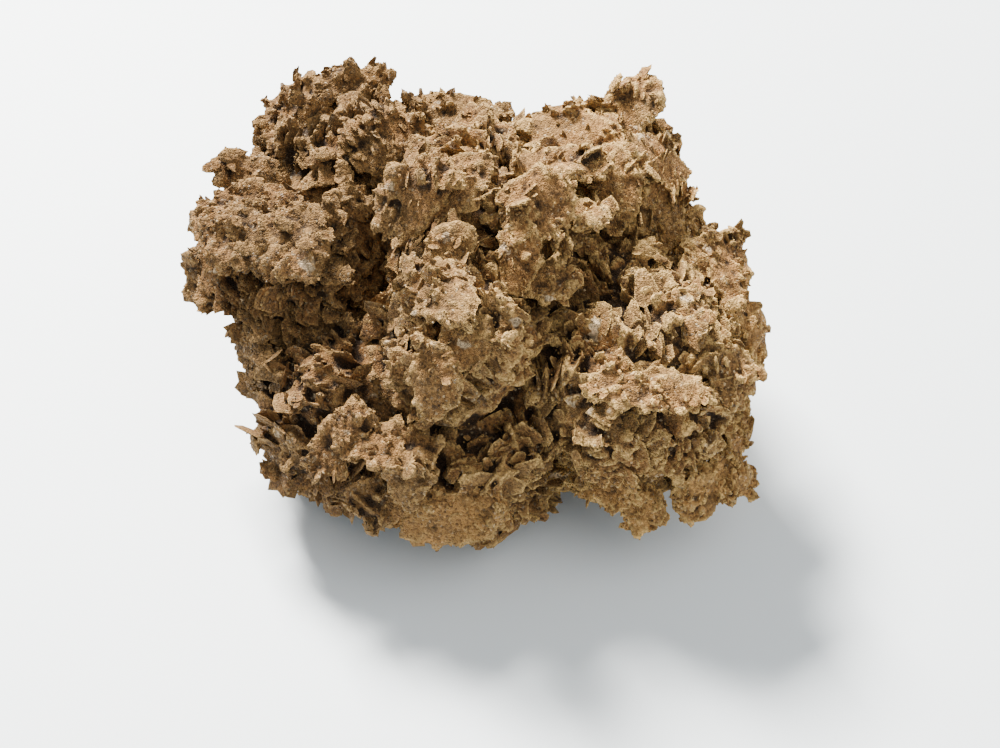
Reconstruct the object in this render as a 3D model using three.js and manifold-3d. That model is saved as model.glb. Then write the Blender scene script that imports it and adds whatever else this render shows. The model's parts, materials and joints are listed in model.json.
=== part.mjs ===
// Gypsum sand rose: a cluster of intergrown rosettes of lens-shaped, sand-filled gypsum crystals.
// Units are millimetres and +Z is up. The rose rests on z = 0, with its origin below its middle.
// Each rosette has a sandy mass, the knot where its crystals merge, and blades that stand proud of it.
// Crystals that meet are cut back from each other by a small gap, so each one is a solid of its own.
import * as THREE from 'three';
import { mergeVertices } from 'three/addons/utils/BufferGeometryUtils.js';
import Module from 'manifold-3d';

const wasm = await Module();
wasm.setup();

// Driving dimensions
const gap = 0.3; // clearance between crystals that meet
const thicknessShare = 0.24; // a blade's greatest thickness over its width
const thinnest = 1.8; // least thickness in the middle of a blade
const rim = 0.45; // half thickness of a blade's blunt rim
const bladeSides = 14; // corners round a blade's outline
const massDetail = 3; // subdivision of a mass
const floorSlab = 400; // side of the block that trims the underside flat
const massSwell = { side: 0.06, top: 0.05 }; // depth of a mass's swellings, over its reach
const massWaves = { x: 3.1, y: 2.7, z: 4.3, slant: 2.2 }; // how close together the swellings are
const shoulder = { at: 0.6, height: 0.72 }; // where a blade's face bends, over its reach and its thickness
const outline = { threefold: 0.07, fivefold: 0.05 }; // how uneven a blade's outline is
const curlShare = 0.06; // how far a blade's ends curl, over its length
const fanReach = 1.08; // how far out a fan's blades sit, over the reach of their mass
const fanShrink = 0.15; // how much smaller the second blade of each three in a fan is, and the third again
const fanLean = [
  { turn: -75, rise: 25, spin: 0 },
  { turn: 60, rise: 45, spin: 30 },
]; // how the blades of a fan look and spin by turns, from the way that each one stands

// Where the rosettes sit, how far their masses reach along x, y and z, and the blades on each.
// face is the way a blade's broad side looks: its turn from the front towards the right, and its rise
// above the horizon, in degrees. spin turns the blade's long axis in its own plane, from level.
// size is the blade's length and width.
const rosettes = {
  back: { at: [2, 20, 20], radii: [32, 26, 22], blades: {} },
  south: {
    at: [-1, -16.5, 18.5],
    radii: [21, 19.5, 20],
    blades: {
      amber_plate: { at: [-3, -38, 19.5], face: [0, 35], spin: 5, size: [20, 11] },
      lump_blade: { at: [-17, -35, 22], face: [-10, 40], spin: 10, size: [13, 9] },
      shelf_blade: { at: [-13, -32, 33], face: [0, 75], spin: 0, size: [17, 8] },
      round_blade: { at: [-11, -37, 29], face: [5, 35], spin: 100, size: [10, 8] },
    },
  },
  crown: {
    at: [2, 14, 41],
    radii: [21, 22, 21],
    blades: {
      leaf_blade: { at: [-10, 3, 60], face: [-30, 40], spin: 55, size: [18, 12] },
      tall_blade: { at: [-1, 4, 63], face: [-30, 50], spin: 65, size: [15, 10] },
      small_blade: { at: [-3, -6, 58], face: [0, 50], spin: 20, size: [10, 8] },
      disc_blade: { at: [12, 0, 61], face: [10, 50], spin: 20, size: [14, 13] },
      brow_blade: { at: [17, 11, 61], face: [0, 85], spin: 0, size: [18, 9] },
      spindle_blade: { at: [20, 3, 56], face: [-65, 65], spin: 40, size: [15, 6] },
      column_blade: { at: [9, -8, 56], face: [-15, 45], spin: 95, size: [15, 8] },
    },
  },
  east: {
    at: [30, -9, 29],
    radii: [22, 25, 21],
    blades: {
      shoulder_blade: { at: [46, 2, 43], face: [50, 60], spin: 0, size: [19, 15] },
      honey_blade: { at: [52, -8, 37], face: [60, 35], spin: 85, size: [15, 9] },
      disc_blade: { at: [46, -23, 41], face: [25, 45], spin: 70, size: [13, 11] },
      brow_blade: { at: [30, -27, 43], face: [0, 80], spin: 0, size: [22, 8] },
      side_blade: { at: [48, -20, 25], face: [50, 40], spin: 80, size: [16, 10] },
      fan_blade_1: { at: [32, -33, 18], face: [-15, 35], spin: 95, size: [14, 8] },
      fan_blade_2: { at: [41.5, -32, 19], face: [15, 30], spin: 110, size: [14, 10] },
      fan_blade_3: { at: [47.5, -27.5, 18.5], face: [35, 35], spin: 130, size: [15, 8] },
      fan_blade_4: { at: [25, -31, 21.5], face: [0, 65], spin: 10, size: [16, 8] },
    },
  },
  west: {
    at: [-32, 8, 35],
    radii: [15.5, 17, 15.5],
    blades: {
      spike_blade: { at: [-43.5, 21, 49.5], face: [-15, 40], spin: 5, size: [15, 8] },
      shelf_blade: { at: [-42.5, 10, 49], face: [0, 75], spin: 5, size: [20, 10] },
      long_blade: { at: [-38, 1, 50], face: [-30, 70], spin: 12, size: [26, 11] },
      point_blade: { at: [-49.5, 4.5, 37.5], face: [-25, 40], spin: -5, size: [14, 9] },
      keel_blade: { at: [-40, -10, 32], face: [-35, 15], spin: -22, size: [13, 8] },
      shadow_blade: { at: [-22, 7, 47], face: [45, 25], spin: 75, size: [18, 14] },
    },
  },
  north_west: {
    at: [-24, 27, 43],
    radii: [19, 16, 16],
    blades: {
      knob_blade: { at: [-26, 36, 57.5], face: [0, 60], spin: 0, size: [13, 11] },
      finger_blade: { at: [-19, 36, 57], face: [0, 50], spin: 95, size: [13, 6] },
      broad_blade: { at: [-15, 20, 57], face: [15, 40], spin: -10, size: [19, 15] },
      tower_blade: { at: [-36, 32, 54], face: [-55, 50], spin: 80, size: [17, 13] },
      ridge_blade: { at: [-3, 34, 52.5], face: [0, 60], spin: -12, size: [24, 10] },
    },
  },
  north_east: {
    at: [25, 22, 42],
    radii: [15.5, 17, 18],
    blades: {
      spire_blade: { at: [30, 26, 62], face: [-20, 60], spin: 60, size: [17, 11] },
      slope_blade: { at: [19, 21, 60], face: [-30, 70], spin: 8, size: [21, 12] },
      flap_blade: { at: [27, 9, 55], face: [-10, 45], spin: 95, size: [17, 9] },
      wall_blade: { at: [35, 10, 50], face: [30, 35], spin: 85, size: [22, 12] },
      edge_blade: { at: [35, 17, 57], face: [55, 50], spin: -70, size: [15, 9] },
      tip_blade: { at: [40.5, 13, 43], face: [20, 50], spin: 35, size: [12, 6] },
    },
  },
  front: {
    at: [-3, -14, 39],
    radii: [15, 15, 17],
    blades: {
      roof_blade: { at: [-4, -18, 58], face: [-80, 70], spin: 25, size: [18, 11] },
      curl_blade: { at: [14, -8, 50], face: [0, 75], spin: 5, size: [15, 8] },
      bright_blade: { at: [0, -26, 54], face: [-10, 50], spin: 70, size: [12, 9] },
      dark_blade: { at: [5, -24, 53], face: [-30, 20], spin: 80, size: [17, 10] },
      fang_blade: { at: [-6, -31, 49], face: [0, 40], spin: 100, size: [14, 8] },
    },
  },
  south_west: {
    at: [-25.5, -13, 19.5],
    radii: [17.5, 19, 21],
    blades: {
      finger_blade: { at: [-24, -30, 32], face: [0, 45], spin: 60, size: [16, 8] },
    },
  },
};

// Fans of blades round the back: how many blades, the turns they spread over, and their two rises
const fans = [
  { name: 'back_blade', rosette: 'back', count: 5, turns: [110, 230], rises: [10, 35], size: [20, 13] },
  { name: 'back_low_blade', rosette: 'back', count: 3, turns: [125, 215], rises: [-20, -5], size: [16, 11] },
];

const radians = THREE.MathUtils.degToRad;

// The unit vector that a turn from the front and a rise above the horizon point along
function direction(turn, rise) {
  const level = Math.cos(radians(rise));
  return new THREE.Vector3(
    Math.sin(radians(turn)) * level,
    -Math.cos(radians(turn)) * level,
    Math.sin(radians(rise)),
  );
}

// A THREE geometry as a manifold solid
function solidOf(geometry) {
  const bare = geometry.clone();
  bare.deleteAttribute('normal');
  bare.deleteAttribute('uv');
  const merged = mergeVertices(bare, 1e-3);
  return new wasm.Manifold(
    new wasm.Mesh({
      numProp: 3,
      vertProperties: merged.attributes.position.array,
      triVerts: new Uint32Array(merged.index.array),
    }),
  );
}

// A manifold solid as a THREE geometry with flat faces
function geometryOf(solid) {
  const mesh = solid.getMesh();
  const geometry = new THREE.BufferGeometry();
  geometry.setAttribute('position', new THREE.BufferAttribute(mesh.vertProperties, 3));
  geometry.setIndex(new THREE.BufferAttribute(mesh.triVerts, 1));
  geometry.computeVertexNormals();
  return geometry;
}

// Moves every vertex of a geometry by a function that changes a vector in place
function reshape(geometry, move) {
  const position = geometry.attributes.position;
  const point = new THREE.Vector3();
  for (let i = 0; i < position.count; i += 1) {
    point.fromBufferAttribute(position, i);
    move(point);
    position.setXYZ(i, point.x, point.y, point.z);
  }
  return geometry;
}

// A rosette's mass: an ellipsoid with a few broad swellings, grown outwards by grow
function massSolid({ at, radii }, grow) {
  const geometry = reshape(new THREE.IcosahedronGeometry(1, massDetail), (p) => {
    const swell = 1
      + massSwell.side * Math.sin(massWaves.x * p.x + 0.3 * at[0]) * Math.cos(massWaves.y * p.y + 0.2 * at[1])
      + massSwell.top * Math.sin(massWaves.z * p.z + massWaves.slant * p.x + 0.1 * at[2]);
    p.set(p.x * (radii[0] * swell + grow), p.y * (radii[1] * swell + grow), p.z * (radii[2] * swell + grow));
    p.add(new THREE.Vector3(...at));
  });
  return solidOf(geometry);
}

// A blade: a lens with a blunt rim, an uneven oval outline and a slight curl, grown outwards by grow
function bladeSolid({ at, face, spin, size }, grow) {
  const half = new THREE.Vector2(size[0] / 2 + grow, size[1] / 2 + grow);
  const middle = Math.max(thinnest, size[1] * thicknessShare) / 2 + grow;
  const edge = rim + grow;
  const bend = edge + shoulder.height * (middle - edge);
  const profile = [
    [0, -middle],
    [shoulder.at, -bend],
    [1, -edge],
    [1, edge],
    [shoulder.at, bend],
    [0, middle],
  ].map(([r, h]) => new THREE.Vector2(r, h));
  const phase = at[0] + 2 * at[1] + 3 * at[2];
  const lens = reshape(new THREE.LatheGeometry(profile, bladeSides), (p) => {
    const angle = Math.atan2(p.z, p.x);
    const uneven = 1
      + outline.threefold * Math.sin(3 * angle + phase)
      + outline.fivefold * Math.sin(5 * angle + 2 * phase);
    const curl = curlShare * size[0] * Math.cos(phase) * p.x * p.x;
    p.set(p.x * half.x * uneven, p.z * -half.y * uneven, p.y + curl);
  });

  const normal = direction(...face);
  const level = new THREE.Vector3(0, 0, 1).cross(normal).normalize();
  const rising = normal.clone().cross(level);
  const frame = new THREE.Matrix4().makeBasis(level, rising, normal);
  frame.multiply(new THREE.Matrix4().makeRotationZ(radians(spin)));
  frame.setPosition(...at);
  return solidOf(lens.applyMatrix4(frame));
}

// The blades of a fan stand on their mass, alternately upright and leaning, and look sideways
function fanBlades({ name, rosette, count, turns, rises, size }) {
  const { at, radii } = rosettes[rosette];
  return Array.from({ length: count }, (_, i) => {
    const share = count > 1 ? i / (count - 1) : 0.5;
    const turn = THREE.MathUtils.lerp(...turns, share);
    const out = direction(turn, rises[i % rises.length]);
    const lean = fanLean[i % fanLean.length];
    const spec = {
      at: at.map((c, k) => c + out.getComponent(k) * radii[k] * fanReach),
      face: [turn + lean.turn, lean.rise],
      spin: lean.spin,
      size: size.map((s) => s * (1 - fanShrink * (i % 3))),
    };
    return [`${name}_${i + 1}`, spec];
  });
}

// The biggest body of a solid, since a crystal that another one splits keeps its larger part
function largest(solid) {
  return solid.decompose().reduce((a, b) => (a.volume() > b.volume() ? a : b));
}

const sandColour = new THREE.Color(0.55, 0.4, 0.24);
const bladeColour = new THREE.Color(0.62, 0.45, 0.27);
const honeyColour = new THREE.Color(0.66, 0.45, 0.22);
const honeyBlades = /amber|honey|fan_blade/;

const floor = solidOf(new THREE.BoxGeometry(floorSlab, floorSlab, floorSlab).translate(0, 0, -floorSlab / 2));
const rose = new THREE.Group();
const taken = []; // what later crystals are cut back from, each grown by the gap

function addCrystal(name, colour, make) {
  let solid = make(0);
  const box = solid.boundingBox();
  const meets = (other) => other.box.min.every((low, k) => low < box.max[k])
    && other.box.max.every((high, k) => high > box.min[k]);
  for (const other of taken.filter(meets)) solid = solid.subtract(other.solid);
  solid = largest(solid.subtract(floor));
  const grown = make(gap);
  taken.push({ solid: grown, box: grown.boundingBox() });
  const material = new THREE.MeshStandardMaterial({ color: colour, roughness: 0.95, metalness: 0 });
  const mesh = new THREE.Mesh(geometryOf(solid), material);
  mesh.name = name;
  rose.add(mesh);
}

for (const [name, rosette] of Object.entries(rosettes)) {
  addCrystal(`${name}_mass`, sandColour, (grow) => massSolid(rosette, grow));
}
const blades = Object.entries(rosettes).flatMap(([rosette, { blades: own }]) => Object.entries(own)
  .map(([name, spec]) => [`${rosette}_${name}`, spec]));
blades.push(...fans.flatMap(fanBlades));
for (const [name, spec] of blades) {
  const colour = honeyBlades.test(name) ? honeyColour : bladeColour;
  addCrystal(name, colour, (grow) => bladeSolid(spec, grow));
}

// The origin goes to the middle of the base
const bounds = new THREE.Box3().setFromObject(rose);
const centre = bounds.getCenter(new THREE.Vector3());
rose.position.set(-centre.x, -centre.y, -bounds.min.z);

export default rose;
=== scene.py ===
import json
import math

import bmesh
import bpy
import numpy as np
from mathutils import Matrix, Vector, noise
from mathutils.bvhtree import BVHTree


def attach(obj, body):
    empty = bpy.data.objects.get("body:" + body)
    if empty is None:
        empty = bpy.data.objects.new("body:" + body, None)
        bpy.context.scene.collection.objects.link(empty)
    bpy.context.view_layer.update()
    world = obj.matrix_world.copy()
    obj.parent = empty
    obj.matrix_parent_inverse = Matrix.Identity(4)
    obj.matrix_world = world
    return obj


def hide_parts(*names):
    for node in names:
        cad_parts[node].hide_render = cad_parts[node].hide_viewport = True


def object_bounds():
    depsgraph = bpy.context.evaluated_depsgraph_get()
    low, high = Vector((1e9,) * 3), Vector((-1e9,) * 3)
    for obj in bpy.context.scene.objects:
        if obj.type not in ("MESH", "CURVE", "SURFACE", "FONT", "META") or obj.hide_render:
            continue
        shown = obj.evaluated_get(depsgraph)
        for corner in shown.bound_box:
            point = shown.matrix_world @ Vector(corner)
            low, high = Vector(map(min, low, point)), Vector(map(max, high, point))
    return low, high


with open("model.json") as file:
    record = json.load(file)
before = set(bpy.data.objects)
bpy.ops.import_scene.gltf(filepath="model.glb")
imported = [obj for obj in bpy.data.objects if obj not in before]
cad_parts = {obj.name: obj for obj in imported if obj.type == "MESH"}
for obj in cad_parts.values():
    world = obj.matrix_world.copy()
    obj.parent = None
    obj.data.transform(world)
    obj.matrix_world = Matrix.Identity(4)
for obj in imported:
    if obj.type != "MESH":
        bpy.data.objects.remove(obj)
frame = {"nodes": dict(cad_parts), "record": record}
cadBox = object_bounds()
mm = 0.001               # in metres

view = {
    "target": (5.2, -16.7, 27.0),    # mm, the point that the camera looks at
    "distance": 263.0,               # mm
    "elevation": 50.0,               # degrees above the horizon
    "lens": 50.0,                    # mm, on a 36 mm sensor
    "nearest": 5.0,                  # mm, nothing nearer is drawn
}

light = {
    "keyFrom": (-0.45, 0.78, 1.04),  # towards the window light, high at the back left
    "keyDistance": 900.0,            # mm
    "keySize": 240.0,                # mm, its softness
    "keyPower": 56.0,                # W
    "keyColour": (1.0, 0.965, 0.92),
    "fillFrom": (0.62, -0.30, 1.0),  # a wide weak light at the front right
    "fillSize": 900.0,               # mm
    "fillPower": 5.0,                # W
    "fillColour": (1.0, 0.97, 0.93),
    "skyColour": (0.90, 0.95, 1.0),
    "skyStrength": 0.60,
}


def makeCamera():
    camera = bpy.data.objects.new("camera", bpy.data.cameras.new("camera"))
    bpy.context.scene.collection.objects.link(camera)
    rise = math.radians(view["elevation"])
    back = Vector((0, -math.cos(rise), math.sin(rise)))
    camera.location = (Vector(view["target"]) + back * view["distance"]) * mm
    camera.rotation_euler = (-back).to_track_quat("-Z", "Y").to_euler()
    camera.data.lens = view["lens"]
    camera.data.clip_start = view["nearest"] * mm
    bpy.context.scene.camera = camera


def makeLamp(name, toLamp, size, power, colour):
    lamp = bpy.data.lights.new(name, "AREA")
    lamp.size = size * mm
    lamp.energy = power
    lamp.color = colour
    held = bpy.data.objects.new(name, lamp)
    toLamp = Vector(toLamp).normalized()
    held.location = toLamp * light["keyDistance"] * mm
    held.rotation_euler = (-toLamp).to_track_quat("-Z", "Y").to_euler()
    bpy.context.scene.collection.objects.link(held)


def makeLight():
    makeLamp("window_light", light["keyFrom"], light["keySize"], light["keyPower"], light["keyColour"])
    makeLamp("fill_light", light["fillFrom"], light["fillSize"], light["fillPower"], light["fillColour"])
    world = bpy.data.worlds.new("room")
    world.use_nodes = True
    sky = world.node_tree.nodes["Background"]
    sky.inputs["Color"].default_value = (*light["skyColour"], 1)
    sky.inputs["Strength"].default_value = light["skyStrength"]
    bpy.context.scene.world = world


class Pin:
    # one socket's value; arithmetic on it adds Math nodes
    def __init__(self, shade, socket):
        self.shade = shade
        self.socket = socket

    def maths(self, operation, first, second):
        return self.shade.node("ShaderNodeMath", {"operation": operation}, {0: first, 1: second})

    def __add__(self, other):
        return self.maths("ADD", self, other)

    def __radd__(self, other):
        return self.maths("ADD", other, self)

    def __sub__(self, other):
        return self.maths("SUBTRACT", self, other)

    def __rsub__(self, other):
        return self.maths("SUBTRACT", other, self)

    def __mul__(self, other):
        return self.maths("MULTIPLY", self, other)

    def __rmul__(self, other):
        return self.maths("MULTIPLY", other, self)


class Shade:
    # one material and the nodes that make it
    def __init__(self, name):
        self.material = bpy.data.materials.new(name)
        self.material.use_nodes = True
        self.tree = self.material.node_tree
        self.tree.nodes.clear()
        self.places = self.node("ShaderNodeTexCoord", output="Object")

    def node(self, kind, settings=None, values=None, output=0):
        # output is the socket that comes back, or None for all of them
        made = self.tree.nodes.new(kind)
        for name, value in (settings or {}).items():
            if name == "stops":
                self.setStops(made.color_ramp, value)
            else:
                setattr(made, name, value)
        for name, value in (values or {}).items():
            if isinstance(value, Pin):
                self.tree.links.new(value.socket, made.inputs[name])
            else:
                made.inputs[name].default_value = value
        if output is None:
            return [Pin(self, socket) for socket in made.outputs]
        return Pin(self, made.outputs[output]) if made.outputs else made

    def setStops(self, ramp, stops):
        while len(ramp.elements) < len(stops):
            ramp.elements.new(0.5)
        for element, (place, colour) in zip(ramp.elements, stops):
            element.position = place
            element.color = (*colour, 1)

    def noise(self, size, detail=3.0, roughness=0.55):
        # cloudy noise whose features are about size millimetres across
        return self.node("ShaderNodeTexNoise", {"noise_type": "FBM"}, {
            "Vector": self.places, "Scale": 1 / (size * mm), "Detail": detail, "Roughness": roughness})

    def cells(self, size, feature, output):
        # cells about size millimetres across
        return self.node("ShaderNodeTexVoronoi", {"feature": feature}, {
            "Vector": self.places, "Scale": 1 / (size * mm), "Randomness": 1.0}, output)

    def ramp(self, factor, stops):
        return self.node("ShaderNodeValToRGB", {"stops": stops}, {"Fac": factor})

    def mixed(self, factor, first, second, blend="MIX"):
        first, second = ((*one, 1) if isinstance(one, tuple) else one for one in (first, second))
        return self.node("ShaderNodeMix", {"data_type": "RGBA", "blend_type": blend}, {
            0: factor, 6: first, 7: second}, 2)     # its colour sockets, by place

    def attribute(self, name):
        return self.node("ShaderNodeAttribute", {"attribute_name": name}, output="Fac")

    def step(self, value, low, high):
        # 0 below low and 1 above high, smooth between
        return self.node("ShaderNodeMapRange", {"interpolation_type": "SMOOTHSTEP"}, {
            "Value": value, "From Min": low, "From Max": high})

    def finish(self, values, bumps):
        # bumps are heights, each with its strength and the millimetres that it stands out
        normal = None
        for height, strength, distance in bumps:
            bump = {"Height": height, "Strength": strength, "Distance": distance * mm}
            if normal:
                bump["Normal"] = normal
            normal = self.node("ShaderNodeBump", {}, bump)
        values["Normal"] = normal
        shader = self.node("ShaderNodeBsdfPrincipled", {}, values)
        self.node("ShaderNodeOutputMaterial", {}, {"Surface": shader})
        return self.material


# A span is where a mask starts and where it is full. A share is how strongly a colour covers.
sand = {
    "grain": 0.42,                     # mm, across one grain
    "dark": (0.020, 0.010, 0.004),     # painted shade deep in the pits
    "mid": (0.178, 0.099, 0.033),      # the sandy faces
    "warm": (0.200, 0.098, 0.030),
    "pale": (0.47, 0.30, 0.105),       # painted highlight on rims, on the lit side, and pale loose grains
    "shadedSideRim": (0.30, 0.175, 0.062),      # painted shade: the rims' colour on the side away from the light
    "glint": (0.50, 0.39, 0.23),       # clear quartz and gypsum grains, paler than the rest, and painted pale further as a painted glint
    "umber": (0.034, 0.019, 0.009),    # dark grains
    "honey": (0.34, 0.18, 0.055),
    "milk": (0.64, 0.50, 0.32),        # bare white gypsum
    "crustSize": 7.0,                  # mm, across a patch that has kept its crust of grains
    "crustSpan": (0.35, 0.58),
    "hueSize": 11.0,                   # mm, across a patch of one hue
    "hueSpan": (0.35, 0.65),
    "litSideSpan": (-30, 25),             # mm along X, from the side painted as shaded to the side painted as lit
    "rimSpan": (0.5, 0.95),
    "rimShare": 0.85,
    "pitSpan": (0.48, 0.85),
    "pitShare": 0.92,
    "umberSpan": (0.78, 0.82),
    "umberShare": 0.55,
    "glintSpan": (0.93, 0.97),
    "glintShare": 0.35,
    "milkSize": 5.0,                   # mm, across a bare white spot
    "milkSpan": (0.67, 0.72),
    "blotchSize": 3.6,                 # mm, across a darker or lighter blotch
    "blotch": (0.55, 0.9),             # the least brightness and how much a blotch adds
    "grainSpread": (0.55, 1.45),       # the darkest and lightest grain, over the mean
    "litSideLight": (0.94, 0.34),         # painted light: the brightness on the side away from the light, and what the lit side adds
    "roughness": 0.95,
    "smoother": 0.5,                   # how much less rough a glinting grain is
    "smoothSpan": (0.9, 0.94),
    "gloss": 0.3,
    "relief": (1.1, 6.0, 0.7),         # mm across, detail and roughness of the fine bumps
    "reliefBump": (0.9, 0.6),          # strength, and mm
    "gapSpan": (0.0, 0.35),            # the groove between two grains
    "gapBump": (1.0, 0.22),
}

# the colours of loose grains, by how many are darker
looseStops = [
    (0.0, sand["umber"]),
    (0.16, sand["mid"]),
    (0.7, sand["pale"]),
    (0.95, sand["pale"]),
    (0.98, sand["glint"]),
]

# the finish of each material slot: its name, how honey its gypsum is and how clear its white spots are
finishLooks = {
    "sandy_mass": ("sandy_crust", 0.0, 0.6),
    "sandy_blade": ("sandy_blade", 0.12, 0.5),
    "honey_gypsum": ("honey_gypsum", 0.55, 0.4),
}


def makeSand(name, honeyShare, milkShare):
    s = Shade(name)
    hues = s.cells(sand["grain"], "F1", "Color")
    gap = s.cells(sand["grain"], "DISTANCE_TO_EDGE", 0)
    first, second, third = s.node("ShaderNodeSeparateColor", {}, {"Color": hues}, None)
    proud = s.attribute("proud")       # 0 in a pit, 1 on a rim; it places painted shade in pits and a painted highlight on rims
    tone = s.attribute("tone")         # 0 to 1 on a blade, 1 to 2 on a loose grain
    loose = s.step(tone, 0.99, 1.01)
    crusted = s.step(s.noise(sand["crustSize"], 4.0), *sand["crustSpan"])
    hue = s.mixed(s.step(s.noise(sand["hueSize"], 2.0), *sand["hueSpan"]), sand["mid"], sand["warm"])
    if honeyShare:
        hue = s.mixed(honeyShare, hue, sand["honey"])
    along = s.node("ShaderNodeSeparateXYZ", {}, {"Vector": s.places}, "X")
    # painted light: the surface is painted lighter towards +X, the east side, as if more light fell there
    low, high = sand["litSideSpan"]
    litSide = s.step(along, low * mm, high * mm)
    # painted highlight: rims are painted lighter, most of all on the side painted as lit
    rimHighlight = s.step(proud, *sand["rimSpan"]) * sand["rimShare"]
    hue = s.mixed(rimHighlight, hue, s.mixed(litSide, sand["shadedSideRim"], sand["pale"]))
    # painted shade: pits and low spots are painted dark
    hue = s.mixed(s.step(1 - proud, *sand["pitSpan"]) * sand["pitShare"], hue, sand["dark"])
    umber = s.step(first, *sand["umberSpan"]) * sand["umberShare"] * crusted
    speckled = s.mixed(umber, hue, sand["umber"])
    # partly painted glint: some grains are painted pale; their real sparkle comes from the lower roughness
    glint = s.step(second, *sand["glintSpan"]) * sand["glintShare"] * crusted
    speckled = s.mixed(glint, speckled, sand["glint"])
    if milkShare:
        patches = s.step(s.noise(sand["milkSize"], 3.0), *sand["milkSpan"]) * milkShare
        speckled = s.mixed(patches, speckled, sand["milk"])
    colour = s.mixed(loose, speckled, s.ramp(tone - 1, looseStops))
    blotch = s.noise(sand["blotchSize"], 3.0)
    low, high = sand["grainSpread"]
    spread = s.node("ShaderNodeMapRange", {}, {"Value": third, "To Min": low, "To Max": high})
    least, added = sand["blotch"]
    # painted light: every colour is painted brighter towards the lit side
    shadedSideLight, litSideGain = sand["litSideLight"]
    spread = spread * (least + added * blotch) * (shadedSideLight + litSideGain * litSide)
    tint = s.node("ShaderNodeCombineColor", {}, {"Red": spread, "Green": spread, "Blue": spread})
    colour = s.mixed(1.0, colour, tint, "MULTIPLY")
    rough = sand["roughness"] - sand["smoother"] * s.step(second, *sand["smoothSpan"]) * crusted
    return s.finish(
        {"Base Color": colour, "Roughness": rough, "Specular IOR Level": sand["gloss"]},
        [(s.noise(*sand["relief"]), *sand["reliefBump"]), (s.step(gap, *sand["gapSpan"]), *sand["gapBump"])])


tableTop = {
    "halfWidth": 3.0,            # m
    "colour": (0.80, 0.86, 0.885),
    "mottleSize": 60.0,          # mm, across one cloud of its faint mottling
    "mottleShade": 0.97,
    "roughness": 0.6,
    "tooth": 2.0,                # mm, across its fine bumps
    "toothBump": (0.05, 0.05),   # strength, and mm
}


def makeTable():
    s = Shade("pale_table")
    shaded = tuple(c * tableTop["mottleShade"] for c in tableTop["colour"])
    colour = s.mixed(s.noise(tableTop["mottleSize"], 3.0), tableTop["colour"], shaded)
    return s.finish(
        {"Base Color": colour, "Roughness": tableTop["roughness"]},
        [(s.noise(tableTop["tooth"]), *tableTop["toothBump"])])


form = {
    "seed": 7,
    "sheets": 8,             # large plates that a whole crystal is built of
    "sheetFaces": (44, 5),   # round it, and over its thickness
    "blades": 16,            # smaller blades, stamped many times
    "bladeFaces": (10, 4),
    "flakes": 12,
    "flakeFaces": (9, 4),
    "chip": 0.36,            # how deep the bites in a rim are
    "bend": 1.6,             # how much one curls at most
    "twoLobes": 0.14,        # how far its outline swells in two places
    "threeLobes": 0.10,      # and in three
    "lump": 0.09,            # how uneven its faces are
    "rimThinning": 0.3,
    "proud": 0.34,           # how proud its middle is, for the colour: painted shade at the root end, lighter towards the tip and a painted highlight on the rim
    "proudTip": 0.3,
    "proudRim": 0.34,
    "grains": 6,
    "grainUneven": (0.75, 1.2),
}

crust = {
    "massVoxel": 0.58,       # mm
    "plateVoxel": 0.5,
    "coarseVoxel": 0.9,
    "coarseRelief": [        # texture, its size in mm, how far it moves the surface in mm
        ("CLOUDS", 3.6, 1.6),
        ("VORONOI", 2.4, -0.5),
    ],
    "fineRelief": [
        ("CLOUDS", 1.9, 0.4),
        ("VORONOI", 1.0, -0.1),
        ("CLOUDS", 0.6, 0.16),
    ],
    "weld": 0.005,           # mm, points of the CAD solid nearer than this become one
    "proudReach": 0.9,       # mm, from the deepest pit to the sharpest rim
    "smoothing": 8,          # rounds that give the surface which pits and rims are told from
    "margin": 0.3,           # mm, how far blades may pass the CAD box
    "thinnest": 1.1,         # mm, no blade that is melted into the skin is thinner
    "even": 0.5,             # proud and tone where nothing stands out
}

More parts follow.
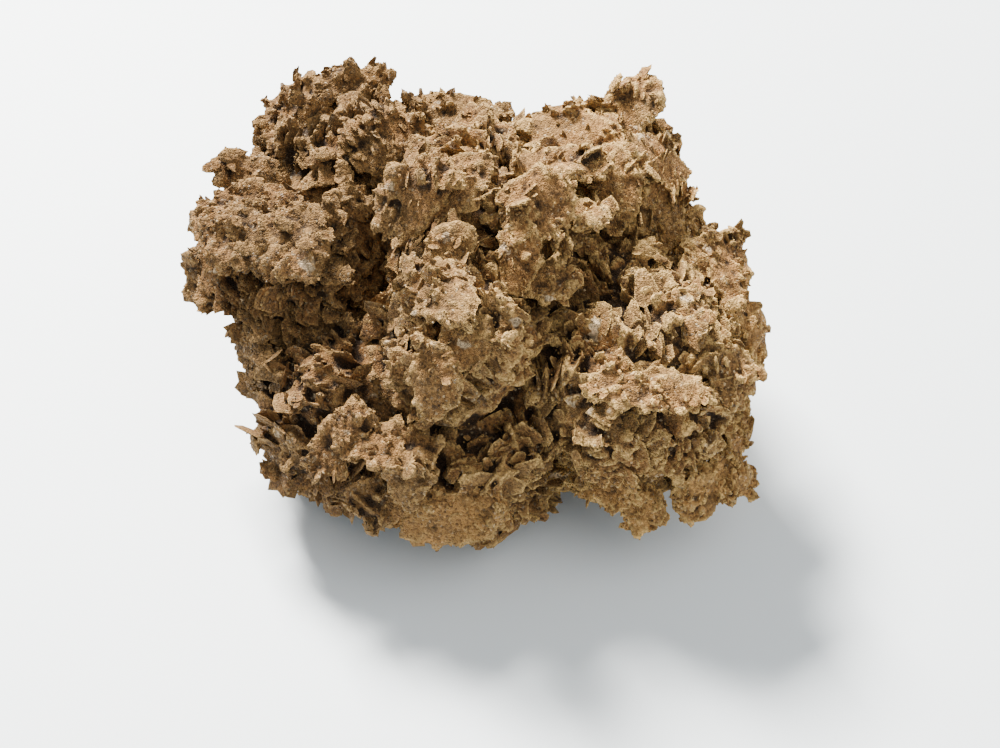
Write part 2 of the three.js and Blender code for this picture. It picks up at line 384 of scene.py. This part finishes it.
# How the stacks of blades stand on each rosette. face is the way that most of them look and stand
# pulls them upright on the surface. patch is the size in mm of a group that leans one way, sink is how
# deep the mass lies under the blades' tips, pits is how much deeper its hollows go, over is how
# overgrown its whole crystals are and sandy is how many loose grains lie on it.
looks = {
    "back": {"stacks": 330, "length": (6, 14), "face": (0.5, 0.2, 0.4), "stand": 0.4, "patch": 18,
             "sink": 2.6, "pits": 3.5, "over": 1.0, "sandy": 0.25},
    "south": {"stacks": 220, "length": (5, 12), "face": (0.1, -0.6, 0.3), "stand": 0.4, "patch": 12,
              "sink": 4.2, "pits": 8.0, "over": 0.4, "sandy": 0.5},
    "crown": {"stacks": 220, "length": (5, 12), "face": (-0.5, -0.4, 0.4), "stand": 0.4, "patch": 12,
              "sink": 3.0, "pits": 5.0, "over": 0.25, "sandy": 1.0},
    "east": {"stacks": 380, "length": (3.5, 9), "face": (-0.5, -0.5, 0.5), "stand": 0.4, "patch": 9,
             "sink": 2.2, "pits": 3.0, "over": 0.9, "sandy": 1.8},
    "west": {"stacks": 190, "length": (6, 13), "face": (0.1, -0.6, 0.8), "stand": 0.3, "patch": 18,
             "sink": 2.2, "pits": 3.0, "over": 1.0, "sandy": 0.5},
    "north_west": {"stacks": 210, "length": (4, 11), "face": (0.4, -0.5, 0.6), "stand": 0.4, "patch": 14,
                   "sink": 2.3, "pits": 3.4, "over": 1.0, "sandy": 0.6},
    "north_east": {"stacks": 190, "length": (6, 13), "face": (-0.9, -0.4, 0.3), "stand": 0.4, "patch": 14,
                   "sink": 3.0, "pits": 6.5, "over": 0.2, "sandy": 0.8},
    "front": {"stacks": 160, "length": (4, 10), "face": (-0.3, -0.5, 0.3), "stand": 0.5, "patch": 9,
              "sink": 2.6, "pits": 4.5, "over": 0.35, "sandy": 1.2},
    "south_west": {"stacks": 210, "length": (3, 8), "face": (-0.3, -0.5, 0.3), "stand": 0.35, "patch": 10,
                   "sink": 2.1, "pits": 2.8, "over": 1.0, "sandy": 0.5},
}


def seedOf(name):
    return sum(ord(letter) * (place + 1) for place, letter in enumerate(name))


def unit(ways):
    return ways / np.maximum(np.linalg.norm(ways, axis=-1, keepdims=True), 1e-12)


def dots(first, second):
    return np.sum(first * second, -1, keepdims=True)


def inOrder(faces):
    # the same faces in a fixed order, since some operators give them in a new one on each run
    size = faces.shape[1]
    first = faces.argmin(1)[:, None]
    faces = np.take_along_axis(faces, (first + np.arange(size)) % size, 1)
    return faces[np.lexsort(faces.T)]


def skinOf(bm):
    # a bmesh as arrays, and then it is freed: points, triangles, and each point's proud and tone
    bmesh.ops.triangulate(bm, faces=bm.faces, quad_method="FIXED")
    bm.verts.index_update()
    points = np.array([v.co for v in bm.verts])
    corners = inOrder(np.array([[v.index for v in f.verts] for f in bm.faces]))
    bm.free()
    return {"points": points, "corners": corners, "proud": np.full(len(points), crust["even"]),
            "tone": np.full(len(points), crust["even"])}


def joined(skins):
    offsets = np.cumsum([0] + [len(skin["points"]) for skin in skins])
    whole = {key: np.concatenate([skin[key] for skin in skins]) for key in ("points", "proud", "tone")}
    whole["corners"] = np.concatenate([skin["corners"] + start for skin, start in zip(skins, offsets)])
    return whole


def meshOf(skin, name):
    mesh = bpy.data.meshes.new(name)
    corners = skin["corners"]
    mesh.vertices.add(len(skin["points"]))
    mesh.vertices.foreach_set("co", skin["points"].ravel())
    mesh.loops.add(corners.size)
    mesh.loops.foreach_set("vertex_index", corners.ravel())
    mesh.polygons.add(len(corners))
    mesh.polygons.foreach_set("loop_start", np.arange(0, corners.size, 3))
    mesh.update(calc_edges=True)
    sharp = mesh.attributes.new("sharp_face", "BOOLEAN", "FACE")
    sharp.data.foreach_set("value", np.ones(len(corners), bool))
    for key in ("proud", "tone"):
        attribute = mesh.attributes.new(key, "FLOAT", "POINT")
        attribute.data.foreach_set("value", skin[key].astype(np.float32))
    return mesh


def bladeForm(rng, segments, rings):
    # a blade one unit across, its tip at +X: a lens with a bitten rim, a little bent
    bm = bmesh.new()
    bmesh.ops.create_uvsphere(bm, u_segments=segments, v_segments=rings, radius=0.5)
    turns = rng.uniform(0, math.tau, 2)
    bites = rng.uniform(1 - form["chip"], 1 + form["chip"] / 2, segments)
    bend = rng.uniform(-form["bend"], form["bend"])
    proud = []
    for vert in bm.verts:
        x, y, z = vert.co
        out = math.hypot(x, y) * 2
        turn = math.atan2(y, x)
        bite = bites[round(turn / math.tau * segments) % segments]
        reach = 1 + form["twoLobes"] * math.sin(2 * turn + turns[0])
        reach += form["threeLobes"] * math.sin(3 * turn + turns[1])
        reach *= 1 + (bite - 1) * out ** 3
        lump = rng.uniform(-form["lump"], form["lump"])
        height = z * (1 - form["rimThinning"] * out) + bend * x * x + lump
        vert.co = Vector((x * reach, y * reach, height))
        # painted shade at the root end, painted highlight towards the tip and on the rim
        proud.append(form["proud"] + form["proudTip"] * (x + 0.5) + form["proudRim"] * out ** 5)
    skin = skinOf(bm)
    skin["proud"] = np.array(proud)
    return skin


def grainForm(rng):
    bm = bmesh.new()
    bmesh.ops.create_icosphere(bm, subdivisions=1, radius=0.5)
    for vert in bm.verts:
        vert.co *= rng.uniform(*form["grainUneven"])
    return skinOf(bm)


formRng = np.random.default_rng(form["seed"])
sheetForms = [bladeForm(formRng, *form["sheetFaces"]) for _ in range(form["sheets"])]
bladeForms = [bladeForm(formRng, *form["bladeFaces"]) for _ in range(form["blades"])]
flakeForms = [bladeForm(formRng, *form["flakeFaces"]) for _ in range(form["flakes"])]
grainForms = [grainForm(formRng) for _ in range(form["grains"])]


# Crisp blades that stand on a finished skin, lengths and thinnest in mm and perArea to a square mm. The
# width is over the length and the thickness over the width. reach is how far out the middle sits, over
# the length, and loose is how far each strays from the way that its neighbours lean.
petals = {
    "forms": bladeForms, "length": (2.4, 7.5), "width": (0.55, 0.95), "thickness": 0.13,
    "thinnest": 0.5, "reach": (-0.15, 0.12), "loose": 0.14, "perArea": 0.09,
}
rimPetals = {
    "forms": bladeForms, "length": (1.6, 4.2), "width": (0.5, 0.9), "thickness": 0.15,
    "thinnest": 0.45, "reach": (-0.2, 0.1), "loose": 0.2, "perArea": 0.13,
}
flakes = {
    "forms": flakeForms, "length": (0.9, 2.2), "width": (0.5, 0.85), "thickness": 0.3,
    "thinnest": 0.45, "reach": (-0.1, 0.25), "loose": 0.28, "perArea": 0.045,
}
strewing = {
    "skew": 1.4,             # above 1, short ones outnumber long ones
    "tones": (0.2, 0.8),
}


def inBox(middles, ways):
    # which stamped blades stay inside the CAD box, but for a small margin
    low, high = (np.array(corner) for corner in cadBox)
    half = np.abs(ways).max(1) / 2
    margin = crust["margin"] * mm
    return np.all((middles - half > low - margin) & (middles + half < high + margin), 1)


def stamped(forms, middles, ways, tones, rng):
    # copies of the forms at middles, turned and sized by their three ways, but none outside the box
    picks = rng.integers(len(forms), size=len(middles))
    picks[~inBox(middles, ways)] = -1
    skins = []
    for k, one in enumerate(forms):
        chosen = np.flatnonzero(picks == k)
        points = np.einsum("nk,mkj->mnj", one["points"], ways[chosen]) + middles[chosen][:, None]
        each = len(one["points"])
        corners = one["corners"][None] + np.arange(len(chosen))[:, None, None] * each
        skins.append({
            "points": points.reshape(-1, 3),
            "corners": corners.reshape(-1, 3),
            "proud": np.tile(one["proud"], len(chosen)),
            "tone": np.repeat(tones[chosen], each),
        })
    return skins


def mergedCopy(node):
    bm = bmesh.new()
    bm.from_mesh(frame["nodes"][node].data)
    bmesh.ops.remove_doubles(bm, verts=bm.verts, dist=crust["weld"] * mm)
    bm.normal_update()
    return bm


def facets(skin):
    # the corners of each triangle, the way that it looks and twice its area
    a, b, c = (skin["points"][skin["corners"][:, k]] for k in range(3))
    cross = np.cross(b - a, c - a)
    return a, b, c, cross, np.linalg.norm(cross, axis=1)


def seatsOn(skin, count, rng):
    # random points on a skin and the way that each looks
    a, b, c, cross, areas = facets(skin)
    picks = rng.choice(len(areas), size=count, p=areas / areas.sum())
    u, v = rng.uniform(0, 1, (2, count, 1))
    over = u + v > 1
    u, v = np.where(over, 1 - u, u), np.where(over, 1 - v, v)
    return a[picks] + (b - a)[picks] * u + (c - a)[picks] * v, unit(cross[picks])


def spaced(seats, apart):
    # which seats to keep, so that none are closer together than apart
    kept = []
    for place, seat in enumerate(seats):
        if not kept or np.min(np.sum((seats[kept] - seat) ** 2, 1)) > apart ** 2:
            kept.append(place)
    return kept


def areaOf(skin):
    return facets(skin)[4].sum() / 2 / mm ** 2


leans = {
    "together": 1.3,         # how strongly a group leans its own way, against its rosette's
    "tilt": 0.35,            # how far a blade's tip strays from straight out
    "fields": (0, 31, 67),   # where in the noise the lean along X, Y and Z is read
    "strands": 17,           # sets of groups that the pieces are spread over
}


def leaning(seats, outward, look, seed, rng, loose):
    # the thin and long ways of blades standing at seats, in groups that lean alike
    size = look["patch"] * mm
    strand = seed % leans["strands"]
    field = np.array([
        [noise.noise(Vector(seat) / size + Vector((strand, place, 0))) for place in leans["fields"]]
        for seat in seats]).reshape(-1, 3)
    thin = unit(field * leans["together"] + np.array(look["face"]))
    thin = unit(thin - outward * dots(thin, outward) * look["stand"])
    thin = unit(thin + rng.normal(0, loose, thin.shape))
    longWay = outward + rng.normal(0, leans["tilt"], thin.shape)
    longWay = unit(longWay - thin * dots(longWay, thin))
    return thin, longWay


def sized(thin, longWay, length, width, thick):
    return np.stack([longWay * length, np.cross(thin, longWay) * width, thin * thick], 1)


def mainland(points, corners):
    # the largest connected part of a skin, so that nothing floats beside it
    labels = np.arange(len(points))
    while True:
        lowest = labels.copy()
        for k in range(3):
            np.minimum.at(lowest, corners[:, k], labels[corners[:, k - 1]])
            np.minimum.at(lowest, corners[:, k - 1], labels[corners[:, k]])
        lowest = lowest[lowest]
        if np.array_equal(lowest, labels):
            break
        labels = lowest
    kept = labels == np.bincount(labels).argmax()
    places = np.cumsum(kept) - 1
    count = int(kept.sum())
    return {"points": points[kept], "corners": places[corners[kept[corners[:, 0]]]],
            "proud": np.zeros(count), "tone": np.zeros(count)}


def evaluated(piece):
    return piece.evaluated_get(bpy.context.evaluated_depsgraph_get()).to_mesh()


def pulled(items, name, kind, width):
    values = np.empty(len(items) * width, kind)
    items.foreach_get(name, values)
    return values.reshape(-1, width)


def fused(name, skin, voxel, relief):
    # melts crossing crystals into one skin and gives it its relief
    piece = bpy.data.objects.new(name, meshOf(skin, name))
    bpy.context.scene.collection.objects.link(piece)
    melt = piece.modifiers.new("melt", "REMESH")
    melt.mode = "VOXEL"
    melt.voxel_size = voxel * mm
    melted = evaluated(piece)
    points = pulled(melted.vertices, "co", np.float32, 3)
    quads = pulled(melted.loops, "vertex_index", np.int32, 1).reshape(-1, 4)
    order = np.lexsort(points.T)
    quads = inOrder(np.argsort(order)[quads])
    melted = mainland(points[order], np.concatenate([quads[:, [0, 1, 2]], quads[:, [0, 2, 3]]]))
    piece.modifiers.clear()
    piece.data = meshOf(melted, name)
    for kind, size, height in relief:
        texture = bpy.data.textures.new(kind, kind)
        texture.noise_scale = size * mm
        shift = piece.modifiers.new(kind, "DISPLACE")
        shift.texture = texture
        shift.texture_coords = "LOCAL"
        shift.strength = height * mm
        shift.mid_level = 0.5
    rough = evaluated(piece)
    melted["points"] = pulled(rough.vertices, "co", np.float32, 3).astype(float)
    melted["proud"] = proudOf(melted, pulled(rough.vertices, "normal", np.float32, 3))
    melted["tone"] = np.full(len(melted["points"]), crust["even"])
    bpy.data.objects.remove(piece)
    return melted


def proudOf(skin, normals):
    # how far each point stands out from the smoothed surface, 0.5 where it is flat
    corners = skin["corners"]
    starts = np.concatenate([corners[:, 0], corners[:, 1], corners[:, 2]])
    stops = np.concatenate([corners[:, 1], corners[:, 2], corners[:, 0]])
    count = len(skin["points"])
    share = np.maximum(np.bincount(starts, minlength=count), 1)[:, None]
    smooth = skin["points"]
    for _ in range(crust["smoothing"]):
        smooth = np.stack([np.bincount(starts, smooth[stops, k], count) for k in range(3)], 1) / share
    out = dots(skin["points"] - smooth, normals)[:, 0]
    return np.clip(crust["even"] + out / (crust["proudReach"] * mm), 0, 1)


stacks = {
    "apart": 1.8,                # mm, between neighbouring stacks
    "tries": 3,                  # places drawn for each stack that is wanted
    "swell": 0.8,                # how far they turn out from the middle of the piece
    "loose": 0.14,               # how far each strays from the way that its neighbours lean
    "skew": 1.3,                 # above 1, small stacks outnumber large ones
    "most": 3,                   # blades in one
    "length": (0.55, 1.1),       # of a blade, over its stack's
    "width": (0.6, 1.0),         # over the length
    "thickness": (0.13, 0.2),    # over the width
    "fanned": 0.09,              # how far the blades of a stack open like a fan
    "splayed": 0.12,             # and how far their tips part
    "gap": 0.8,                  # mm, between two of them
    "tipPast": 1.8,              # mm, how far a tip may pass the CAD surface
    "steepest": 0.3,             # least share of outward in a blade's way, when its reach is worked out
    "reach": (0.1, 0.4),         # how far out the middle sits, over the length
    "under": 0.5,                # mm, how far a blade may dip under the table before it is dropped
}


def stacked(ground, look, seed, rng, count, lengths, bare=None):
    # stacks of blades standing on a skin, most of them leaning as their neighbours do
    seats, outward = seatsOn(ground, count * stacks["tries"], rng)
    kept = spaced(seats, stacks["apart"] * mm)
    seats, outward = seats[kept], outward[kept]
    if bare:
        free = bare(seats)
        seats, outward = seats[free], outward[free]
    seats, outward = seats[:count], outward[:count]
    outward = unit(outward + unit(seats - ground["points"].mean(0)) * stacks["swell"])
    thin, longWay = leaning(seats, outward, look, seed, rng, stacks["loose"])
    low, high = lengths
    length = low * (high / low) ** (rng.uniform(0, 1, (len(seats), 1)) ** stacks["skew"]) * mm
    counts = rng.integers(1, stacks["most"] + 1, len(seats))
    stack = np.repeat(np.arange(len(seats)), counts)
    place = np.concatenate([np.arange(n) - (n - 1) / 2 for n in counts])[:, None]
    length = length[stack] * rng.uniform(*stacks["length"], (len(stack), 1))
    width = length * rng.uniform(*stacks["width"], length.shape)
    thick = np.maximum(crust["thinnest"] * mm, width * rng.uniform(*stacks["thickness"], length.shape))
    thin = unit(thin[stack] + rng.normal(0, stacks["fanned"], (len(stack), 3)))
    longWay = longWay[stack] + rng.normal(0, stacks["splayed"], thin.shape)
    longWay = unit(longWay - thin * dots(longWay, thin))
    middles = seats[stack] + thin * place * (stacks["gap"] * mm + thick)
    steep = np.maximum(dots(longWay, outward[stack]), stacks["steepest"])
    reach = (look["sink"] + rng.uniform(0, stacks["tipPast"], length.shape)) * mm / steep
    stands = length * rng.uniform(*stacks["reach"], length.shape)
    middles = middles + longWay * np.minimum(stands, reach - length / 2)
    above = middles[:, 2] - length[:, 0] / 2 > -stacks["under"] * mm
    ways = sized(thin, longWay, length, width, thick)
    return stamped(bladeForms, middles[above], ways[above], np.full(above.sum(), crust["even"]), rng)


def strewn(ground, look, seed, rng, kind, share, bare=None):
    # thin blades of one kind all over a skin, leaning in groups
    seats, outward = seatsOn(ground, int(areaOf(ground) * kind["perArea"] * share), rng)
    if bare:
        free = bare(seats)
        seats, outward = seats[free], outward[free]
    thin, longWay = leaning(seats, outward, look, seed, rng, kind["loose"])
    low, high = kind["length"]
    length = low * (high / low) ** (rng.uniform(0, 1, (len(seats), 1)) ** strewing["skew"]) * mm
    width = length * rng.uniform(*kind["width"], length.shape)
    thick = np.maximum(kind["thinnest"] * mm, width * kind["thickness"])
    middles = seats + longWay * length * rng.uniform(*kind["reach"], length.shape)
    tones = rng.uniform(*strewing["tones"], len(seats))
    return stamped(kind["forms"], middles, sized(thin, longWay, length, width, thick), tones, rng)


grains = {
    "across": (0.26, 0.55),      # mm
    "perArea": 0.2,              # to a square mm of skin
    "width": 0.85,               # over its length
    "height": 0.8,
    "reach": 0.2,                # how far out its middle sits, over its length
}


def grownOver(ground, look, seed, rng, kind, bare=None, share=1.0):
    # stands petals and flakes on a skin and scatters loose grains over it all
    area = areaOf(ground)
    whole = joined([ground, *strewn(ground, look, seed, rng, kind, share, bare)])
    whole = joined([whole, *strewn(ground, look, seed, rng, flakes, 1.0, bare)])
    seats, outward = seatsOn(whole, int(area * grains["perArea"] * look["sandy"]), rng)
    if bare:
        free = bare(seats)
        seats, outward = seats[free], outward[free]
    low, high = grains["across"]
    across = low * (high / low) ** rng.uniform(0, 1, (len(seats), 1)) * mm
    turned = unit(rng.normal(0, 1, seats.shape))
    aside = unit(np.cross(turned, outward) + 1e-6)
    ways = sized(turned, aside, across, across * grains["width"], across * grains["height"])
    tones = 1 + rng.uniform(0, 1, len(seats))
    middles = seats + outward * across * grains["reach"]
    return joined([whole, *stamped(grainForms, middles, ways, tones, rng)])


mass = {
    "clear": 2.2,            # mm, a spot that faces another mass nearer than this stays plain
    "lift": 0.1,             # mm, how far off the surface that is looked for
    "cuts": 1,               # cuts in each edge of the CAD mesh, for the pits
    "pitSize": 9,            # mm
    "pitSets": 31,           # sets of pits that the pieces are spread over
    "pitGain": 2.2,
    "pitSpan": (-0.25, 1),   # the shallowest and the deepest, over the look's pits
    "pressed": 0.8,          # mm, how far a spot against another mass swells out
    "hollowShadeFrom": 0.5,         # where the painted shade in a hollow starts, over the look's sink
    "hollowShadeDepth": 3.5,        # mm, from there to where it is darkest
    "hollowShade": 0.45,            # how dark the painted shade is
}


def growMass(node, covers):
    look, seed = looks[node[:-len("_mass")]], seedOf(node)
    rng = np.random.default_rng(seed)
    bm = mergedCopy(node)
    own = BVHTree.FromBMesh(bm)
    bmesh.ops.subdivide_edges(bm, edges=bm.edges, cuts=mass["cuts"], use_grid_fill=True)
    bm.normal_update()
    normals = np.array([v.normal for v in bm.verts])
    body = skinOf(bm)

    def bare(seats):
        # which seats don't face a neighbouring mass
        found = []
        for seat in seats:
            near, normal = own.find_nearest(Vector(seat))[:2]
            start = near + normal * mass["lift"] * mm
            found.append(covers.ray_cast(start, normal, mass["clear"] * mm)[0] is None)
        return np.array(found, bool)

    free = bare(body["points"])[:, None]
    origin = Vector((0, seed % mass["pitSets"], 0))
    pits = np.array([noise.noise(Vector(p) / (mass["pitSize"] * mm) + origin) for p in body["points"]])
    depth = look["sink"] + look["pits"] * np.clip(pits[:, None] * mass["pitGain"], *mass["pitSpan"])
    body["points"] = body["points"] - normals * np.where(free, depth, -mass["pressed"]) * mm
    ground = fused(node, body, crust["coarseVoxel"], crust["coarseRelief"])
    blades = stacked(ground, look, seed, rng, look["stacks"], look["length"], bare)
    melted = fused(node, joined([ground, *blades]), crust["massVoxel"], crust["fineRelief"])
    # painted shade: hollows are painted darker the further each point lies from the CAD surface
    deep = np.array([own.find_nearest(Vector(point))[3] for point in melted["points"]])
    hollowShading = np.clip((deep / mm - look["sink"] * mass["hollowShadeFrom"]) / mass["hollowShadeDepth"], 0, 1)
    melted["proud"] = np.clip(melted["proud"] - mass["hollowShade"] * hollowShading, 0, 1)
    return grownOver(melted, look, seed, rng, petals, bare)


plates = {
    "flattened": 0.55,           # share of the CAD plate's thickness that the sheets take over
    "drawnIn": 0.93,             # size of what is left of it
    "overFill": 1.6,             # skin over length times width
    "overPerArea": 0.08,         # stacks that grow over it, to a square mm
    "overLength": 0.65,          # of their length on the mass
    "petals": (0.4, 0.6),        # share of its petals, and what being overgrown adds
}

sheets = {
    "count": 5,
    "turn": 2.4,                 # radians, from one to the next
    "share": (0.5, 0.8),         # size over the plate's
    "edge": 0.98,                # how far out they reach, over the plate
    "spread": 0.36,              # how far they lie over and under its middle, over its thickness
    "tilt": 0.06,
    "thickness": 0.2,            # over the plate's
    "width": 1.05,
}

rims = {
    "fewest": 8,                 # small blades round a plate
    "perLength": 0.8,            # more of them, to a mm of its length
    "reach": (0.34, 0.46),       # from its middle, over its size
    "spread": 0.32,              # over its thickness
    "tilt": 0.12,
    "stray": 0.25,               # from straight out
    "length": (0.12, 0.3),       # over the plate's
    "width": (0.5, 0.9),         # over the length
    "thickness": 0.12,           # over the width
}


def sheetsIn(middle, axes, spans, rng):
    # sheets that lie on each other
    longWay, wide, thin = axes
    count = sheets["count"]
    turns = rng.uniform(0, math.tau) + np.arange(count)[:, None] * sheets["turn"]
    shares = rng.uniform(*sheets["share"], (count, 1))
    side = longWay * np.cos(turns) * spans[0] + wide * np.sin(turns) * spans[1]
    middles = middle + side * (sheets["edge"] - shares) / 2
    middles = middles + thin * np.linspace(-sheets["spread"], sheets["spread"], count)[:, None] * spans[2]
    thins = unit(thin + rng.normal(0, sheets["tilt"], (count, 3)))
    longs = unit(longWay - thins * dots(longWay, thins))
    thick = np.full((count, 1), max(crust["thinnest"] * mm, spans[2] * sheets["thickness"]))
    ways = sized(thins, longs, shares * spans[0], shares * spans[1] * sheets["width"], thick)
    return stamped(sheetForms, middles, ways, np.full(count, crust["even"]), rng)


def rimOf(middle, axes, spans, rng):
    # small blades that lengthen the rim
    longWay, wide, thin = axes
    count = int(rims["fewest"] + spans[0] * rims["perLength"] / mm)
    turns = rng.uniform(0, math.tau, (count, 1))
    side = longWay * np.cos(turns) * spans[0] + wide * np.sin(turns) * spans[1]
    middles = middle + side * rng.uniform(*rims["reach"], (count, 1))
    middles = middles + thin * rng.uniform(-rims["spread"], rims["spread"], (count, 1)) * spans[2]
    thins = unit(thin + rng.normal(0, rims["tilt"], (count, 3)))
    outWay = unit(side) + rng.normal(0, rims["stray"], (count, 3))
    outWay = unit(outWay - thins * dots(outWay, thins))
    length = rng.uniform(*rims["length"], (count, 1)) * spans[0]
    width = length * rng.uniform(*rims["width"], (count, 1))
    thick = np.maximum(crust["thinnest"] * mm, width * rims["thickness"])
    ways = sized(thins, outWay, length, width, thick)
    return stamped(bladeForms, middles, ways, np.full(count, crust["even"]), rng)


def growBlade(node, look):
    seed = seedOf(node)
    rng = np.random.default_rng(seed)
    plate = skinOf(mergedCopy(node))
    middle = plate["points"].mean(0)
    axes = np.linalg.svd(plate["points"] - middle, full_matrices=False)[2]     # long, wide, thin
    spans = np.array([np.ptp((plate["points"] - middle) @ way) for way in axes])
    thin = axes[2]
    lift = thin * ((plate["points"] - middle) @ thin)[:, None]
    plate["points"] = plate["points"] - lift * plates["flattened"]
    plate["points"] = middle + (plate["points"] - middle) * plates["drawnIn"]
    laid = sheetsIn(middle, axes, spans, rng)
    ground = joined([plate, *laid, *rimOf(middle, axes, spans, rng)])
    area = spans[0] * spans[1] / mm ** 2 * plates["overFill"]
    over = int(area * plates["overPerArea"] * look["over"])
    lengths = [n * plates["overLength"] for n in look["length"]]
    blades = stacked(ground, look, seed, rng, over, lengths) if over else []
    melted = fused(node, joined([ground, *blades]), crust["plateVoxel"], crust["fineRelief"])
    least, added = plates["petals"]
    return grownOver(melted, look, seed, rng, rimPetals, share=least + added * look["over"])


def masses():
    return [name for name in frame["nodes"] if name.endswith("_mass")]


def coverTree():
    # the skin of all the masses, to tell which parts of one face another
    bm = bmesh.new()
    for name in masses():
        bm.from_mesh(frame["nodes"][name].data)
    tree = BVHTree.FromBMesh(bm)
    bm.free()
    return tree


def build():
    finishes = {slot: makeSand(*kind) for slot, kind in finishLooks.items()}
    slots = {part["node"]: part["material_slot"] for part in frame["record"]["subparts"]}
    covers = coverTree()
    total = 0
    for node in sorted(frame["nodes"]):
        rosette = max((r for r in looks if node.startswith(r + "_")), key=len)
        if node.endswith("_mass"):
            skin, name = growMass(node, covers), node.replace("_mass", "_crust")
        else:
            skin, name = growBlade(node, looks[rosette]), node + "_crystal"
        skin["points"][:, 2] = np.maximum(skin["points"][:, 2], 0)    # nothing reaches below the table
        piece = bpy.data.objects.new(name, meshOf(skin, name))
        bpy.context.scene.collection.objects.link(piece)
        piece.data.materials.append(finishes[slots[node]])
        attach(piece, "root")
        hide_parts(node)
        total += len(skin["corners"])
        print(f"{name}: {len(skin['corners'])} triangles")
    print(f"{total} triangles in all")


def makeFloor():
    bm = bmesh.new()
    bmesh.ops.create_grid(bm, x_segments=1, y_segments=1, size=tableTop["halfWidth"])
    mesh = bpy.data.meshes.new("table")
    bm.to_mesh(mesh)
    bm.free()
    table = bpy.data.objects.new("table", mesh)
    mesh.materials.append(makeTable())
    bpy.context.scene.collection.objects.link(table)


makeCamera()
makeLight()
makeFloor()
print("stage ready")
build()
print("crystals ready")
